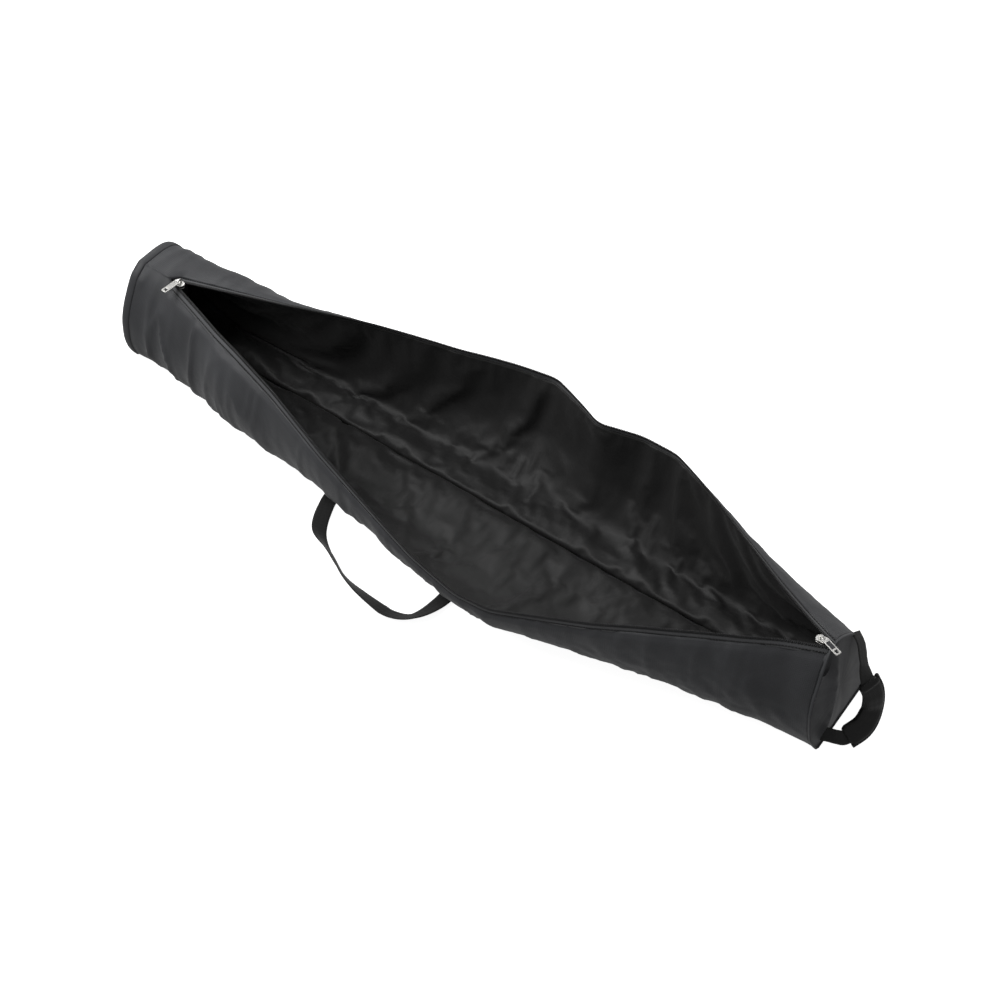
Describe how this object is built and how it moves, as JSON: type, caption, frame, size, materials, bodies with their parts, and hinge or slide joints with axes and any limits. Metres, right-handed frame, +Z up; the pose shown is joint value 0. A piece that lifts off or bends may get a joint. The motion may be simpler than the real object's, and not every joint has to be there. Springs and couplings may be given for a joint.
{
  "type": "padded gig bag",
  "caption": "Long padded fabric bag lying open, lengthwise two-way zip, soft lining, webbing side strap and padded grip at the foot end.",
  "frame": {"origin": "middle of the flat base, on the surface that the bag lies on", "axes": "+X along the bag from the head end to the foot end, where the grip is; +Y from the front wall, with the side strap, to the back wall; +Z up"},
  "size_m": [1.3646, 0.4197, 0.2039],
  "materials": {
    "outer_fabric": "woven",
    "lining_fabric": "satin",
    "webbing": "woven",
    "zip_tape": "woven",
    "grip_fabric": "satin",
    "slider_metal": "polished",
    "binding": "woven"
  },
  "bodies": {
    "root": {"base_panel": "outer_fabric", "base_lining_front": "lining_fabric", "base_lining_back": "lining_fabric", "head_tube": "outer_fabric", "head_rim_band": "binding", "head_end_panel": "outer_fabric", "foot_tube": "outer_fabric", "foot_end_panel": "outer_fabric", "foot_seam_binding": "binding", "carry_strap_tail_head": "webbing", "carry_strap_tail_foot": "webbing", "front_wall_head": "outer_fabric", "front_lining_head": "lining_fabric", "front_zip_head": "zip_tape", "front_wall_foot": "outer_fabric", "front_lining_foot": "lining_fabric", "front_zip_foot": "zip_tape", "back_wall_head": "outer_fabric", "back_lining_head": "lining_fabric", "back_zip_head": "zip_tape", "back_wall_foot": "outer_fabric", "back_lining_foot": "lining_fabric", "back_zip_foot": "zip_tape"},
    "front_upper": {"front_wall_upper": "outer_fabric", "front_lining_upper": "lining_fabric", "front_zip_upper": "zip_tape"},
    "front_shoulder": {"front_wall_shoulder": "outer_fabric", "front_lining_shoulder": "lining_fabric", "front_zip_shoulder": "zip_tape"},
    "front_middle": {"front_wall_middle": "outer_fabric", "front_lining_middle": "lining_fabric", "front_zip_middle": "zip_tape"},
    "front_lower": {"front_wall_lower": "outer_fabric", "front_lining_lower": "lining_fabric", "front_zip_lower": "zip_tape"},
    "back_upper": {"back_wall_upper": "outer_fabric", "back_lining_upper": "lining_fabric", "back_zip_upper": "zip_tape"},
    "back_shoulder": {"back_wall_shoulder": "outer_fabric", "back_lining_shoulder": "lining_fabric", "back_zip_shoulder": "zip_tape"},
    "back_middle": {"back_wall_middle": "outer_fabric", "back_lining_middle": "lining_fabric", "back_zip_middle": "zip_tape"},
    "back_lower": {"back_wall_lower": "outer_fabric", "back_lining_lower": "lining_fabric", "back_zip_lower": "zip_tape"},
    "head_slider_body": {"head_slider": "slider_metal"},
    "head_tab_body": {"head_pull_tab": "slider_metal"},
    "foot_slider_body": {"foot_slider": "slider_metal"},
    "foot_tab_body": {"foot_pull_tab": "slider_metal"},
    "carry_strap_body": {"carry_strap_loop": "webbing"},
    "foot_handle_body": {"foot_grip_wrap": "grip_fabric", "foot_handle_web_upper": "webbing", "foot_handle_web_lower": "webbing"}
  },
  "joints": [
    {"name": "front_upper_fold", "type": "hinge", "parent": "root", "child": "front_upper", "pos_m": [-0.29, -0.082, 0.008], "axis": [-1, 0, 0], "range_deg": [0, 20.5]},
    {"name": "front_shoulder_fold", "type": "hinge", "parent": "root", "child": "front_shoulder", "pos_m": [-0.075, -0.082, 0.008], "axis": [-1, 0, 0], "range_deg": [0, 43.5]},
    {"name": "front_middle_fold", "type": "hinge", "parent": "root", "child": "front_middle", "pos_m": [0.1, -0.082, 0.008], "axis": [-1, 0, 0], "range_deg": [0, 65.5]},
    {"name": "front_lower_fold", "type": "hinge", "parent": "root", "child": "front_lower", "pos_m": [0.285, -0.082, 0.008], "axis": [-1, 0, 0], "range_deg": [0, 40.5]},
    {"name": "back_upper_fold", "type": "hinge", "parent": "root", "child": "back_upper", "pos_m": [-0.29, 0.072, 0.008], "axis": [1, 0, 0], "range_deg": [0, 13.5]},
    {"name": "back_shoulder_fold", "type": "hinge", "parent": "root", "child": "back_shoulder", "pos_m": [-0.075, 0.072, 0.008], "axis": [1, 0, 0], "range_deg": [0, 34.5]},
    {"name": "back_middle_fold", "type": "hinge", "parent": "root", "child": "back_middle", "pos_m": [0.1, 0.072, 0.008], "axis": [1, 0, 0], "range_deg": [0, 43.5]},
    {"name": "back_lower_fold", "type": "hinge", "parent": "root", "child": "back_lower", "pos_m": [0.285, 0.072, 0.008], "axis": [1, 0, 0], "range_deg": [0, 26.5]},
    {"name": "head_slider_slide", "type": "slide", "parent": "root", "child": "head_slider_body", "axis": [1, 0, 0.0085], "range_m": [0, 0.654]},
    {"name": "head_tab_flip", "type": "hinge", "parent": "head_slider_body", "child": "head_tab_body", "pos_m": [-0.569, -0.022, 0.17869], "axis": [-1, 0, 0], "range_deg": [0, 145]},
    {"name": "foot_slider_slide", "type": "slide", "parent": "root", "child": "foot_slider_body", "axis": [-1, 0, -0.0085], "range_m": [0, 0.484]},
    {"name": "foot_tab_flip", "type": "hinge", "parent": "foot_slider_body", "child": "foot_tab_body", "pos_m": [0.619, -0.022, 0.18874], "axis": [-0.287, -0.9579, 0], "range_deg": [0, 180]},
    {"name": "carry_strap_lift", "type": "hinge", "parent": "root", "child": "carry_strap_body", "pos_m": [-0.07, -0.12, 0.001], "axis": [-1, 0, 0], "range_deg": [0, 22]},
    {"name": "foot_handle_swing", "type": "hinge", "parent": "root", "child": "foot_handle_body", "pos_m": [0.65, 0.042, 0.14], "axis": [0.0733, -0.5866, -0.8066], "range_deg": [0, 60]}
  ],
  "couplings": [
    {"joint": "front_upper_fold", "follows": "front_middle_fold", "ratio": 0.31297},
    {"joint": "front_shoulder_fold", "follows": "front_middle_fold", "ratio": 0.66412},
    {"joint": "front_lower_fold", "follows": "front_middle_fold", "ratio": 0.61832},
    {"joint": "back_upper_fold", "follows": "front_middle_fold", "ratio": 0.2061},
    {"joint": "back_shoulder_fold", "follows": "front_middle_fold", "ratio": 0.52671},
    {"joint": "back_middle_fold", "follows": "front_middle_fold", "ratio": 0.66412},
    {"joint": "back_lower_fold", "follows": "front_middle_fold", "ratio": 0.40458},
    {"joint": "head_slider_slide", "follows": "front_middle_fold", "m_per_rad": 0.57208},
    {"joint": "foot_slider_slide", "follows": "front_middle_fold", "m_per_rad": 0.42337}
  ]
}
